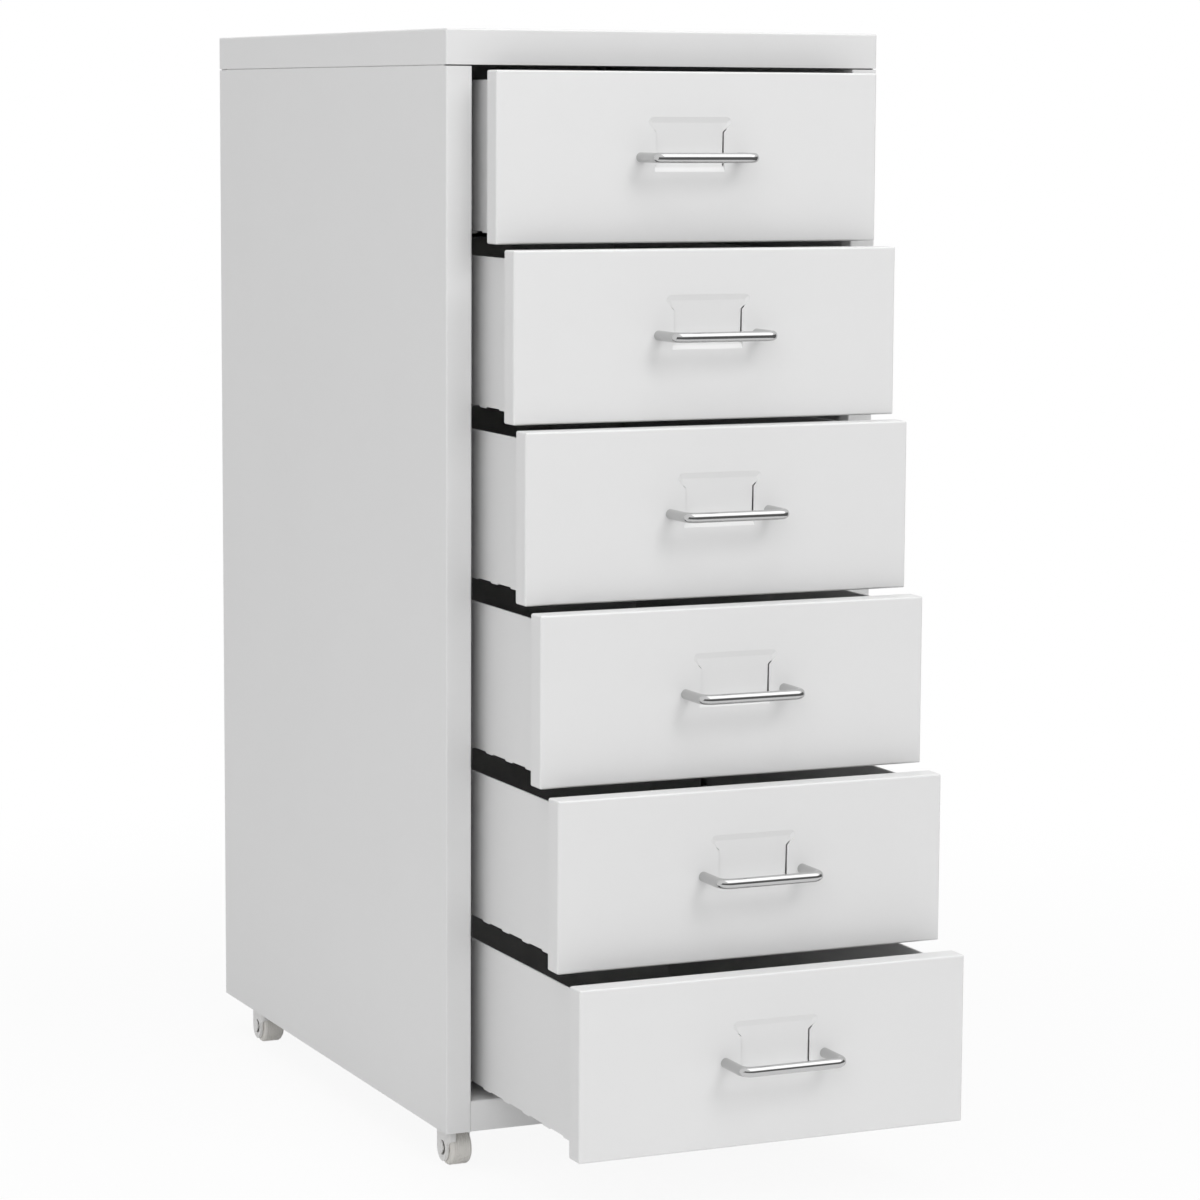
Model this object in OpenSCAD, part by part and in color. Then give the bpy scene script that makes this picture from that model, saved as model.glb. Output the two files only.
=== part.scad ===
// Small sheet-metal cabinet with six drawers, standing on four swivel castors.
// X runs to the right, the drawer fronts face -Y and Z is up. The origin is on the floor under the
// middle of the case. Each drawer is drawn part-way out, the top one least and the lowest one most.

/* [Case] */
// Width over the side panels
cabinet_w = 282; // [260:1:320]
// Depth of the case, front face to rear face
cabinet_d = 412; // [400:1:460]
// Height from the lower edge of the sides to the top of the cover
case_h = 657; // [640:1:720]
// Free height between the floor and the case
castor_drop = 25.5; // [25:0.5:30]
// Thickness of the folded sheet
sheet = 0.8; // [0.6:0.1:1]
// Outside radius of a fold
fold_r = 1.2; // [1.2:0.1:1.6]
// Height of the cover's skirt
cover_h = 20.9; // [18:0.1:26]
// Width of the flange on each side of the drawers
flange_w = 16.4; // [15:0.1:20]
// Height of the base rail under the drawers
base_h = 18.6; // [18:0.1:26]

/* [Drawers] */
// How far each drawer stands open, top drawer first
rest_pull = [33.5, 59.9, 77.8, 100.5, 126.3, 157.6]; // [0:0.1:250]
// Travel from closed to the stop
drawer_travel = 290; // [200:1:300]
// Gap between a drawer front and a side flange
side_gap = 1.2; // [0.8:0.1:2]
// Gap between two drawer fronts
row_gap = 2.7; // [1:0.1:3.2]
// Depth of the returns round a drawer front
front_depth = 13.5; // [12:0.5:16]
// How far a tray wall stands in from the side of the front
tray_inset = 7.2; // [6.5:0.1:9]
// How far the tray wall ends below the top of the front
tray_drop = 5.4; // [5:0.1:9]
// How far the tray's underside lies above the foot of the front
tray_rise = 6.5; // [6:0.1:8]

/* [Label pocket] */
// Width of the pressed pocket
pocket_w = 54; // [46:1:56]
// Height of the pressed pocket
pocket_h = 32; // [30:1:34]
// Top of the pocket, below the top of the front
pocket_down = 26.4; // [24:0.2:30]
// How deep the pocket is pressed in at its foot
pocket_depth = 1.8; // [1.2:0.1:2.4]
// How deep the pocket is pressed in at its top
pocket_top_depth = 1; // [0.8:0.1:1.2]
// Distance between the two card slots
slot_span = 43.8; // [38:0.2:46]
// Length of each card slot
slot_h = 19.6; // [14:0.2:20]
// Width of each card slot
slot_w = 0.5; // [0.4:0.1:1.2]

/* [Handle] */
// Distance between the two legs
handle_w = 63.6; // [62:0.2:72]
// Distance from the front to the middle of the bar
handle_reach = 25; // [22:0.5:32]
// Diameter of the rod
rod_d = 6; // [5:0.1:6.5]
// Radius of the bends, at the middle of the rod
rod_bend = 6; // [5:0.5:8]
// Height of the bar below the top of the front
handle_down = 50; // [45:0.2:56]

/* [Castors] */
// Distance from the kingpin to the side of the case
castor_side = 16; // [15.5:0.5:30]
// Distance from the kingpin to the front or rear of the case
castor_end = 35; // [30:0.5:40]
// Radius of the wheel
wheel_r = 11; // [10:0.1:11.2]
// Width of the wheel
wheel_w = 13; // [11:0.2:13.2]
// Distance from the kingpin to the axle
trail = 11; // [10:0.5:12]

/* [Hidden] */
$fn = 48;

white_paint = [0.89, 0.89, 0.9];
bright_steel = [0.78, 0.78, 0.8];
white_plastic = [0.92, 0.92, 0.91];
grey_tyre = [0.72, 0.72, 0.69];

fold_in = fold_r - sheet;
fit_gap = 0.1;
cut = 1;

// Levels and faces of the case
front_y = -cabinet_d / 2;
back_y = cabinet_d / 2;
case_top = castor_drop + case_h;
seam_z = case_top - cover_h;
floor_z = castor_drop + base_h;
return_d = 12;
rear_flange = 14;
tongue_flange = 12;
seam_h = sheet;
side_top = seam_z - seam_h;

// The stack of drawer fronts in the opening
rows = 6;
top_gap = 3.2;
base_gap = 1;
front_w = cabinet_w - 2 * (flange_w + side_gap);
front_h = (seam_z - top_gap - floor_z - base_gap - (rows - 1) * row_gap) / rows;
function row_z(row) = seam_z - top_gap - row * front_h - (row - 1) * row_gap;

// The tray behind a drawer front
tray_w = front_w - 2 * tray_inset;
tray_front = front_y + sheet;
tray_back = back_y - 21;
tray_top = front_h - tray_drop;
tray_flange = 5.5;
hem_h = 6;
plate_flange = 4.6;
tab_l = 10;
tab_pitch = 30;
tab_drop = 0.8;
tab_count = floor((tray_back - front_y - front_depth - tab_pitch) / tab_pitch);

// A runner: a cranked strip that carries the tray on its lowest leg
runner_front = front_y + front_depth + 12;
runner_back = back_y - 12;
runner_h = 29;
runner_fix = 8;
runner_clear = 1.6;
ledge_w = 7.6;
ledge_z = tray_rise - tab_drop - fit_gap;

// The stop: an ear on each tray wall that meets the return of the flange
ear_out = 10.5;
ear_h = 10;
ear_z = ledge_z + runner_h + 4;
ear_y = front_y + return_d + 0.3 + drawer_travel;

// Slopes round the floor of the label pocket. Beside the slots the sheet stays level with the face.
pocket_r = 3.5;
slope_top = 3.4;
slope_foot = 6.2;
foot_out = 0.9;
slot_z = pocket_h / 2 - 8.9;
slot_hook = 2.2;

// Screws of the case and of the handles
screw_r = 1.6;
head_r = 3.6;
screw_l = 7;
tapped_l = 8;
back_screws = 5;
back_screw_in = 8;
back_screw_end = 30;

// Castor fittings
roof_top = castor_drop - 0.6;
roof_gap = 0.9;
crown_z = 2 * wheel_r + roof_gap;
crown_top = castor_drop + 5.4;
kingpin_r = 3;
kingpin_head_r = 4.8;
kingpin_head_h = 1.6;
race_r = 8.5;
race_h = 2.4;
race_gap = 0.3;
stem_r = 4;
stem_out = 2;
collar_af = 12;
nut_af = 13;
nut_h = 6.5;
cheek_t = 2.15;
cheek_gap = 0.25;
cheek_r = 8.4;
fork_half = wheel_w / 2 + cheek_gap + cheek_t;
fork_round = 2;
mark_r = 5.4;
mark_in = 2.2;
axle_r = 1.98;
wheel_gap = 0.06;
hub_r = 4.6;
web_w = 4;
rim_t = 4;
rim_round = 2.2;

// ---- sections of folded sheet ----

// A quarter ring: the corner of a fold, in the quadrant x > 0, y < 0
module fold_corner() {
    intersection() {
        difference() {
            circle(fold_r);
            circle(fold_in);
        }
        translate([0, -fold_r]) square(fold_r);
    }
}

// Straight legs joined by square folds. The sheet lies on the left of the path. A turn of 1 folds
// it to the left, and a turn of -1 folds it to the right.
module folded(legs, turns, i = 0) {
    square([legs[i], sheet]);
    if (i < len(turns) && turns[i] > 0) {
        translate([legs[i], fold_r]) fold_corner();
        translate([legs[i] + fold_r, fold_r]) rotate(90) folded(legs, turns, i + 1);
    }
    if (i < len(turns) && turns[i] < 0) {
        translate([legs[i], -fold_in]) mirror([0, 1]) fold_corner();
        translate([legs[i] + fold_in, -fold_in]) rotate(-90) folded(legs, turns, i + 1);
    }
}

// Stands a section drawn in X and Z up along Y, from y0 to y1
module along_y(y0, y1) {
    translate([0, y1, 0]) rotate([90, 0, 0]) linear_extrude(y1 - y0) children();
}

// Lays a section drawn in Y and Z along X, from x0 to x1
module along_x(x0, x1) {
    translate([x0, 0, 0]) rotate([90, 0, 90]) linear_extrude(x1 - x0) children();
}

// A rectangle centred on X that starts at y = 0, with its two lower corners rounded
module arch(w, h, r) {
    translate([-w / 2 + r, 0]) square([w - 2 * r, h]);
    translate([-w / 2, r]) square([w, h - r]);
    for (side = [-1, 1]) translate([side * (w / 2 - r), r]) circle(r);
}

// A centred rectangle with four rounded corners
module rounded(w, h, r) {
    square([w - 2 * r, h], center = true);
    square([w, h - 2 * r], center = true);
    for (x = [-1, 1], y = [-1, 1]) translate([x * (w / 2 - r), y * (h / 2 - r)]) circle(r);
}

// A block with rounded edges, closed at z = 0 and square-edged at z = h
module pan_block(w, d, h, r) {
    intersection() {
        linear_extrude(h) rounded(w, d, r);
        along_y(-d / 2, d / 2) arch(w, h, r);
        along_x(-w / 2, w / 2) arch(d, h, r);
    }
}

// A folded pan: a flat floor at z = 0 with four walls that stand up to z = h
module pan(w, d, h) {
    difference() {
        pan_block(w, d, h, fold_r);
        translate([0, 0, sheet]) pan_block(w - 2 * sheet, d - 2 * sheet, h, fold_in);
    }
}

// ---- case ----

module top_cover() {
    color(white_paint) difference() {
        translate([0, 0, case_top]) rotate([180, 0, 0]) pan(cabinet_w, cabinet_d, cover_h);
        case_screw_holes();
    }
}

// Places the screws at the rear: one row through the skirt of the bottom panel, five through the
// back panel and one through the skirt of the cover
module at_case_screws() {
    low = floor_z + back_screw_end;
    step = (side_top - back_screw_end - low) / (back_screws - 1);
    heights = concat(
        [castor_drop + base_h / 2], [for (i = [0:back_screws - 1]) low + i * step], [case_top - cover_h / 2]
    );
    for (side = [-1, 1], z = heights)
        translate([side * (cabinet_w / 2 - back_screw_in), back_y, z]) rotate([90, 0, 0]) children();
}

module case_screw_holes() {
    at_case_screws() cylinder(h = 4, r = screw_r + fit_gap, center = true);
}

// The side panel with its front flange and return, and its rear flange
module side_channel() {
    translate([0, 0, castor_drop]) linear_extrude(side_top - castor_drop)
        translate([-cabinet_w / 2 + flange_w - sheet, front_y + return_d]) rotate(-90)
            folded(
                [return_d - fold_r, flange_w - 2 * fold_r, cabinet_d - 2 * fold_r, rear_flange - fold_r],
                [-1, -1, -1]
            );
}

// The upper edge of a side panel, set inwards so that the cover's skirt closes flush over it
module side_tongue() {
    crank = sheet + fit_gap;
    left = -cabinet_w / 2;
    outer = [[left, side_top - 8], [left, side_top], [left + crank, side_top + crank],
             [left + crank, seam_z + 1]];
    inner = [for (i = [len(outer) - 1:-1:0]) outer[i] + [sheet, 0]];
    along_y(front_y + 4, back_y - rear_flange) {
        polygon(concat(outer, inner));
        translate([left + crank + sheet, seam_z]) rotate(90)
            folded([cover_h - sheet - fold_r, tongue_flange], [-1]);
    }
}

module side_panel() {
    difference() {
        union() {
            side_channel();
            side_tongue();
        }
        // The return stops above the base rail, which passes behind the flange
        translate([-cabinet_w / 2 + flange_w - fold_r - cut, front_y + sheet, castor_drop - cut])
            cube([fold_r + 2 * cut, return_d, base_h + cut + 0.3]);
        case_screw_holes();
    }
}

module side_panel_left() {
    color(white_paint) side_panel();
}

module side_panel_right() {
    color(white_paint) mirror([1, 0, 0]) side_panel();
}

module back_panel() {
    side_x = cabinet_w / 2 - sheet - 0.3;
    wing = 10;
    color(white_paint) difference() {
        translate([0, 0, floor_z]) linear_extrude(case_top - sheet - cut - floor_z)
            translate([-side_x + sheet, back_y - sheet - wing]) rotate(90)
                folded([wing - fold_r, 2 * (side_x - fold_r), wing - fold_r], [-1, -1]);
        case_screw_holes();
    }
}

// The raised floor of the case. Its front skirt is the base rail.
module bottom_panel() {
    color(white_paint) difference() {
        translate([0, 0, floor_z]) rotate([180, 0, 0])
            pan(cabinet_w - 2 * (sheet + fit_gap), cabinet_d - 2 * sheet, base_h);
        case_screw_holes();
        at_castors() translate([0, 0, floor_z - sheet - cut])
            cylinder(h = sheet + 2 * cut, r = stem_r + fit_gap);
    }
}

// One runner of the left side, in the drawer's own height
module runner() {
    web_x = tray_w / 2 + runner_clear + sheet;
    wall_x = cabinet_w / 2 - sheet;
    along_y(runner_front, runner_back)
        translate([-wall_x, ledge_z + runner_h - sheet + runner_fix]) rotate(-90) folded(
            [runner_fix - fold_r, wall_x - web_x - fold_r - fold_in,
             runner_h - fold_in - fold_r, ledge_w - fold_r],
            [1, -1, 1]
        );
}

module runners_left() {
    color(white_paint) for (row = [1:rows]) translate([0, 0, row_z(row)]) runner();
}

module runners_right() {
    color(white_paint) mirror([1, 0, 0]) for (row = [1:rows]) translate([0, 0, row_z(row)]) runner();
}

module case_screws() {
    color(bright_steel) at_case_screws() {
        cylinder(h = 3, r = screw_r);
        translate([0, 0, -1.8]) cylinder(h = 1.8, r = head_r);
    }
}

// ---- drawers ----

// Moves a drawer from its closed place, at floor level, to its row and its drawn opening
module in_row(row) {
    translate([0, -rest_pull[row - 1], row_z(row)]) children();
}

// The same outline on the left and on the right of the Z axis
module both_sides(points) {
    polygon(concat(points, [for (i = [len(points) - 1:-1:0]) [-points[i][0], points[i][1]]]));
}

// A dished form pressed in along +Y from y = 0. It is half_w wide on each side at the face and
// half_floor at its full depth.
module pressed(half_w, half_floor) {
    intersection() {
        linear_extrude(pocket_h, center = true)
            both_sides([[half_w, -cut], [half_w, 0], [half_floor, pocket_depth]]);
        along_x(-half_w, half_w) polygon([
            [-cut, -pocket_h / 2], [0, -pocket_h / 2],
            [0.65 * pocket_depth, -pocket_h / 2 + 0.4 * slope_foot],
            [pocket_depth, -pocket_h / 2 + slope_foot],
            [pocket_top_depth, pocket_h / 2 - slope_top], [0, pocket_h / 2], [-cut, pocket_h / 2]
        ]);
        along_y(-cut, pocket_depth) children();
    }
}

// The label pocket: a dish whose sides are cut square between the slots, so that the ends of a card
// slip behind the sheet there, and slope up to the face above and below them
module pocket_form() {
    half_w = pocket_w / 2;
    slot_x = slot_span / 2;
    pressed(half_w, slot_x) intersection() {
        rounded(pocket_w, pocket_h, pocket_r);
        both_sides([
            [slot_x, slot_z - slot_h], [slot_x, slot_z], [half_w, slot_z + half_w - slot_x],
            [half_w, pocket_h / 2]
        ]);
    }
    pressed(slot_x + foot_out, slot_x) translate([-slot_x - foot_out, -pocket_h / 2])
        square([2 * (slot_x + foot_out), slot_z - slot_h + pocket_h / 2 + fit_gap]);
}

// One card slot: an upright slit whose upper end hooks outwards
module card_slot() {
    along_y(-cut, 2 * pocket_depth + sheet) translate([slot_span / 2, slot_z]) {
        translate([-slot_w / 2, -slot_h]) square([slot_w, slot_h]);
        for (z = [-slot_h, 0]) translate([0, z]) circle(slot_w / 2);
        rotate(-45) translate([-slot_w / 2, 0]) square([slot_w, slot_hook]);
        rotate(-45) translate([0, slot_hook]) circle(slot_w / 2);
    }
}

// Places one thing at each leg of the handle, with Z pointing out of the front
module at_handle_legs() {
    for (side = [-1, 1])
        translate([side * handle_w / 2, front_y, front_h - handle_down]) rotate([90, 0, 0]) children();
}

module drawer_front(row) {
    pocket_at = [0, front_y, front_h - pocket_down - pocket_h / 2];
    color(white_paint) in_row(row) difference() {
        union() {
            translate([0, front_y, front_h / 2]) rotate([-90, 0, 0]) pan(front_w, front_h, front_depth);
            translate(pocket_at + [0, sheet, 0]) intersection() {
                pocket_form();
                translate([-pocket_w / 2, -sheet / 2, -pocket_h / 2])
                    cube([pocket_w, pocket_depth + sheet, pocket_h]);
            }
        }
        translate(pocket_at) pocket_form();
        translate(pocket_at) card_slot();
        translate(pocket_at) mirror([1, 0, 0]) card_slot();
        at_handle_legs() cylinder(h = 4, r = screw_r + fit_gap, center = true);
    }
}

// The hemmed upper edge of a tray wall, from its outer face at x = 0 inwards
module hem() {
    translate([0, tray_top - sheet - 2]) square([sheet, 2]);
    translate([sheet, tray_top - sheet - hem_h]) square([sheet, hem_h]);
    translate([sheet, tray_top - sheet]) intersection() {
        circle(sheet);
        translate([-sheet, 0]) square([2 * sheet, sheet]);
    }
}

// Places each tab of a tray wall, at the tab's lower corner on the left wall
module at_tabs() {
    for (i = [0:tab_count - 1])
        translate([-tray_w / 2, front_y + front_depth + tab_pitch / 2 + i * tab_pitch, 0]) children();
}

// Left wall details: hem, tabs through the bottom, and the ear that stops the drawer
module tray_wall_details() {
    along_y(tray_front + fold_r, tray_back - fold_r) translate([-tray_w / 2, 0]) hem();
    at_tabs() translate([0, 0, tray_rise - tab_drop]) cube([sheet, tab_l, tab_drop + sheet + 1]);
    translate([-tray_w / 2 - ear_out, ear_y, ear_z]) cube([ear_out + sheet, sheet, ear_h]);
}

// Two walls and the back of the tray, folded from one strip, with flanges that meet the front
module drawer_sides(row) {
    color(white_paint) in_row(row) difference() {
        union() {
            translate([0, 0, tray_rise + sheet]) linear_extrude(tray_top - tray_rise - 2 * sheet)
                translate([-tray_w / 2 - tray_flange, tray_front]) folded(
                    [tray_flange + sheet - fold_r, tray_back - tray_front - 2 * fold_r,
                     tray_w - 2 * fold_r, tray_back - tray_front - 2 * fold_r,
                     tray_flange + sheet - fold_r],
                    [1, -1, -1, 1]
                );
            tray_wall_details();
            mirror([1, 0, 0]) tray_wall_details();
            along_x(-tray_w / 2 + 2 * sheet, tray_w / 2 - 2 * sheet)
                translate([tray_back, 0]) mirror([1, 0]) hem();
        }
        // The windows that the ears are bent out of
        for (side = [-1, 1]) translate([side * tray_w / 2, ear_y + sheet + ear_out / 2, ear_z + ear_h / 2])
            cube([2 * sheet + cut, ear_out, ear_h], center = true);
    }
}

module drawer_bottom(row) {
    slot_gap = 0.1;
    color(white_paint) in_row(row) difference() {
        along_x(-tray_w / 2, tray_w / 2)
            translate([tray_front + sheet, tray_rise - plate_flange]) rotate(90)
                folded([plate_flange - fold_in, tray_back - tray_front - fold_r], [-1]);
        for (side = [0, 1]) mirror([side, 0, 0]) at_tabs()
            translate([-cut, -slot_gap, tray_rise - cut])
                cube([cut + sheet + slot_gap / 2, tab_l + 2 * slot_gap, sheet + 2 * cut]);
    }
}

module drawer_handle(row) {
    bar = handle_w - 2 * rod_bend;
    color(bright_steel) in_row(row) difference() {
        union() {
            at_handle_legs() cylinder(h = handle_reach - rod_bend, d = rod_d);
            translate([0, front_y - handle_reach, front_h - handle_down]) {
                rotate([0, 90, 0]) cylinder(h = bar, d = rod_d, center = true);
                for (side = [0, 1]) mirror([side, 0, 0]) translate([bar / 2, rod_bend, 0])
                    rotate([0, 0, -90]) rotate_extrude(angle = 90)
                        translate([rod_bend, 0]) circle(d = rod_d);
            }
        }
        at_handle_legs() translate([0, 0, -cut]) cylinder(h = tapped_l + cut, r = screw_r + fit_gap / 2);
    }
}

module drawer_screws(row) {
    color(bright_steel) in_row(row) at_handle_legs() {
        translate([0, 0, -sheet]) cylinder(h = screw_l, r = screw_r);
        translate([0, 0, -sheet - 2.2]) cylinder(h = 2.2, r = head_r);
    }
}

// ---- castors ----

// The kingpin axes: [side, end], with -1 for left and for front
function castor_at(side, end) = [side * (cabinet_w / 2 - castor_side), end * (cabinet_d / 2 - castor_end), 0];

module at_castors() {
    for (side = [-1, 1], end = [-1, 1]) translate(castor_at(side, end)) children();
}

// A six-sided prism of the given width across its flats
module hexagon(across, h) {
    cylinder(h = h, d = across / cos(30), $fn = 6);
}

// The four nuts welded under the bottom panel
module castor_nuts() {
    color(bright_steel) at_castors() translate([0, 0, floor_z - sheet - nut_h]) difference() {
        hexagon(nut_af, nut_h);
        translate([0, 0, -cut]) cylinder(h = nut_h + 2 * cut, r = stem_r + fit_gap / 2);
    }
}

// The fixed part of a castor: the screwed stem, its collar, the race on the boss of the fork and
// the kingpin with its riveted head
module castor_stem(side, end) {
    nut_z = floor_z - sheet - nut_h;
    race_z = crown_top + race_gap;
    head_z = crown_z - race_gap - kingpin_head_h;
    color(bright_steel) translate(castor_at(side, end)) {
        translate([0, 0, nut_z - cut]) cylinder(h = floor_z + stem_out - nut_z + cut, r = stem_r);
        translate([0, 0, race_z]) hexagon(collar_af, nut_z - race_z);
        translate([0, 0, race_z]) cylinder(h = race_h, r = race_r);
        translate([0, 0, head_z]) cylinder(h = race_z + cut - head_z, r = kingpin_r);
        translate([0, 0, head_z]) cylinder(h = kingpin_head_h, r = kingpin_head_r);
    }
}

// The fork seen from the side: a cheek with a round foot, the roof over the wheel and the boss
module fork_side() {
    translate([-trail, wheel_r]) circle(cheek_r);
    translate([-trail - cheek_r, wheel_r]) square([2 * cheek_r, roof_top - wheel_r]);
    translate([-fork_half, crown_z]) square([2 * fork_half, crown_top - crown_z]);
}

// The fork seen from above: square with rounded corners in front and round about the kingpin
module fork_plan() {
    circle(fork_half);
    translate([0, -(trail + cheek_r) / 2]) rounded(2 * fork_half, trail + cheek_r, fork_round);
}

// The space for the wheel, open in front, behind and below, with its upper edges rounded
module wheel_bay() {
    half = wheel_w / 2 + cheek_gap;
    along_y(-2 * cheek_r - trail, cheek_r)
        translate([0, crown_z]) mirror([0, 1]) arch(2 * half, crown_z + cut, fork_round);
}

// A crescent recess round the foot of a cheek
module crescent() {
    translate([-trail, wheel_r]) difference() {
        circle(mark_r);
        translate([mark_in, 0]) circle(mark_r - 0.6);
    }
}

module castor_fork(side, end) {
    color(white_plastic) translate(castor_at(side, end)) difference() {
        intersection() {
            linear_extrude(crown_top) fork_plan();
            along_x(-fork_half, fork_half) fork_side();
        }
        wheel_bay();
        translate([0, 0, crown_z - cut]) cylinder(h = crown_top, r = kingpin_r + wheel_gap);
        translate([0, -trail, wheel_r]) rotate([0, 90, 0])
            cylinder(h = 2 * fork_half + cut, r = axle_r + wheel_gap / 3, center = true);
        for (x = [-fork_half - cut, fork_half - 1.4]) along_x(x, x + 1.4 + cut) crescent();
    }
}

module castor_wheel(side, end) {
    bore_r = axle_r + wheel_gap;
    color(grey_tyre) translate(castor_at(side, end)) translate([0, -trail, wheel_r])
        rotate([0, 90, 0]) rotate_extrude() {
            translate([bore_r, -wheel_w / 2]) square([hub_r - bore_r, wheel_w]);
            translate([bore_r, -web_w / 2]) square([wheel_r - rim_t - bore_r + 1, web_w]);
            translate([wheel_r - rim_t, -wheel_w / 2]) square([rim_t - rim_round, wheel_w]);
            translate([wheel_r - rim_round, -wheel_w / 2 + rim_round])
                square([rim_round, wheel_w - 2 * rim_round]);
            for (z = [-1, 1]) translate([wheel_r - rim_round, z * (wheel_w / 2 - rim_round)])
                intersection() {
                    circle(rim_round);
                    translate([0, z < 0 ? -rim_round : 0]) square(rim_round);
                }
        }
}

module castor_axle(side, end) {
    color(bright_steel) translate(castor_at(side, end)) translate([0, -trail, wheel_r])
        rotate([0, 90, 0]) cylinder(h = 2 * fork_half - 0.6, r = axle_r, center = true);
}

top_cover();
side_panel_left();
side_panel_right();
back_panel();
bottom_panel();
runners_left();
runners_right();
case_screws();
castor_nuts();
drawer_front(1);  // drawer_1_front
drawer_sides(1);  // drawer_1_sides
drawer_bottom(1);  // drawer_1_bottom
drawer_handle(1);  // drawer_1_handle
drawer_screws(1);  // drawer_1_screws
drawer_front(2);  // drawer_2_front
drawer_sides(2);  // drawer_2_sides
drawer_bottom(2);  // drawer_2_bottom
drawer_handle(2);  // drawer_2_handle
drawer_screws(2);  // drawer_2_screws
drawer_front(3);  // drawer_3_front
drawer_sides(3);  // drawer_3_sides
drawer_bottom(3);  // drawer_3_bottom
drawer_handle(3);  // drawer_3_handle
drawer_screws(3);  // drawer_3_screws
drawer_front(4);  // drawer_4_front
drawer_sides(4);  // drawer_4_sides
drawer_bottom(4);  // drawer_4_bottom
drawer_handle(4);  // drawer_4_handle
drawer_screws(4);  // drawer_4_screws
drawer_front(5);  // drawer_5_front
drawer_sides(5);  // drawer_5_sides
drawer_bottom(5);  // drawer_5_bottom
drawer_handle(5);  // drawer_5_handle
drawer_screws(5);  // drawer_5_screws
drawer_front(6);  // drawer_6_front
drawer_sides(6);  // drawer_6_sides
drawer_bottom(6);  // drawer_6_bottom
drawer_handle(6);  // drawer_6_handle
drawer_screws(6);  // drawer_6_screws
castor_stem(-1, -1);  // castor_front_left_stem
castor_fork(-1, -1);  // castor_front_left_fork
castor_wheel(-1, -1);  // castor_front_left_wheel
castor_axle(-1, -1);  // castor_front_left_axle
castor_stem(1, -1);  // castor_front_right_stem
castor_fork(1, -1);  // castor_front_right_fork
castor_wheel(1, -1);  // castor_front_right_wheel
castor_axle(1, -1);  // castor_front_right_axle
castor_stem(-1, 1);  // castor_rear_left_stem
castor_fork(-1, 1);  // castor_rear_left_fork
castor_wheel(-1, 1);  // castor_rear_left_wheel
castor_axle(-1, 1);  // castor_rear_left_axle
castor_stem(1, 1);  // castor_rear_right_stem
castor_fork(1, 1);  // castor_rear_right_fork
castor_wheel(1, 1);  // castor_rear_right_wheel
castor_axle(1, 1);  // castor_rear_right_axle
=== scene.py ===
# %% [markdown]
# # A small metal drawer cabinet
# Six drawers of folded sheet slide in a white powder-coated case on four castors. The real object
# is bent, lanced and welded steel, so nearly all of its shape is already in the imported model:
# this script gives it paint, chrome, plastic, a studio and a camera. We begin by loading the
# model as a frame that never moves. Each piece made here is placed by asking the frame where
# things are.

# %% Load the frame
import math

import bmesh
import bpy
from mathutils import Matrix, Vector


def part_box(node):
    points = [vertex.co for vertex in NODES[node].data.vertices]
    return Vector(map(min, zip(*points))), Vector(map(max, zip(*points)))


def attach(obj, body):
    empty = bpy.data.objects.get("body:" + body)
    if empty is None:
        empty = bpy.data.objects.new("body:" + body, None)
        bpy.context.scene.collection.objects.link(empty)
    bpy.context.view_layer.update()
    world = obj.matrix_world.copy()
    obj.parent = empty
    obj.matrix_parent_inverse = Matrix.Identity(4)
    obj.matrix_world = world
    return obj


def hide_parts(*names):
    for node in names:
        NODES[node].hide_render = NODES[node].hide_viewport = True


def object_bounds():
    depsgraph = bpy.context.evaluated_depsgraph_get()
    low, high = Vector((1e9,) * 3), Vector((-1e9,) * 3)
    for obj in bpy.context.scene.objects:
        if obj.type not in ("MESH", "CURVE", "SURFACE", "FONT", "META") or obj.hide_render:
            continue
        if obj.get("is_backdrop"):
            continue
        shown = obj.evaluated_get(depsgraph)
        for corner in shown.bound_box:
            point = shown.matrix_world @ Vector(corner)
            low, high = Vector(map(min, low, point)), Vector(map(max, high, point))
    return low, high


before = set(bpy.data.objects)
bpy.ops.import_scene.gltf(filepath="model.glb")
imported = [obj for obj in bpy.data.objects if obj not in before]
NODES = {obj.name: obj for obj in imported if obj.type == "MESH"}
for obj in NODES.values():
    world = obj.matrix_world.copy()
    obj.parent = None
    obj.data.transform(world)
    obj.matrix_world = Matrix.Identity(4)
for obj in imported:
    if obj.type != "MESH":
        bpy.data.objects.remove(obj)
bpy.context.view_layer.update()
MM = 0.001
ROWS = range(1, 7)
CORNERS = ["front_left", "front_right", "rear_left", "rear_right"]

# %% [markdown]
# ## The camera
# For a product shot the camera stands well back with a long lens, so that upright edges stay nearly
# upright. The lens here is 117 mm on a 36 mm sensor, just below the height of the cover, turned 24
# degrees to the cabinet's front and tilted 7 degrees down. A constraint could aim it, but would
# level it too, and this camera is rolled by a third of a degree. A camera in Blender looks along its
# own -Z with +Y up, so its rotation is built from three directions: right, up and back.

# %% Camera
EYE = Vector((-0.988, -2.3227, 0.6369))
TURN, TILT, ROLL = 0.42045, -0.12562, 0.00518
LENS_MM, SENSOR_MM = 116.87, 36
SIGHT = 50


def camera_rotation(turn, tilt, roll):
    """The rotation of a camera turned from +Y towards +X, tilted up and rolled, in radians."""
    ahead = Vector((math.sin(turn) * math.cos(tilt), math.cos(turn) * math.cos(tilt), math.sin(tilt)))
    level = Vector((math.cos(turn), -math.sin(turn), 0))
    upright = level.cross(ahead)
    right = math.cos(roll) * level + math.sin(roll) * upright
    up = math.cos(roll) * upright - math.sin(roll) * level
    return Matrix((right, up, -ahead)).transposed().to_quaternion()


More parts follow.
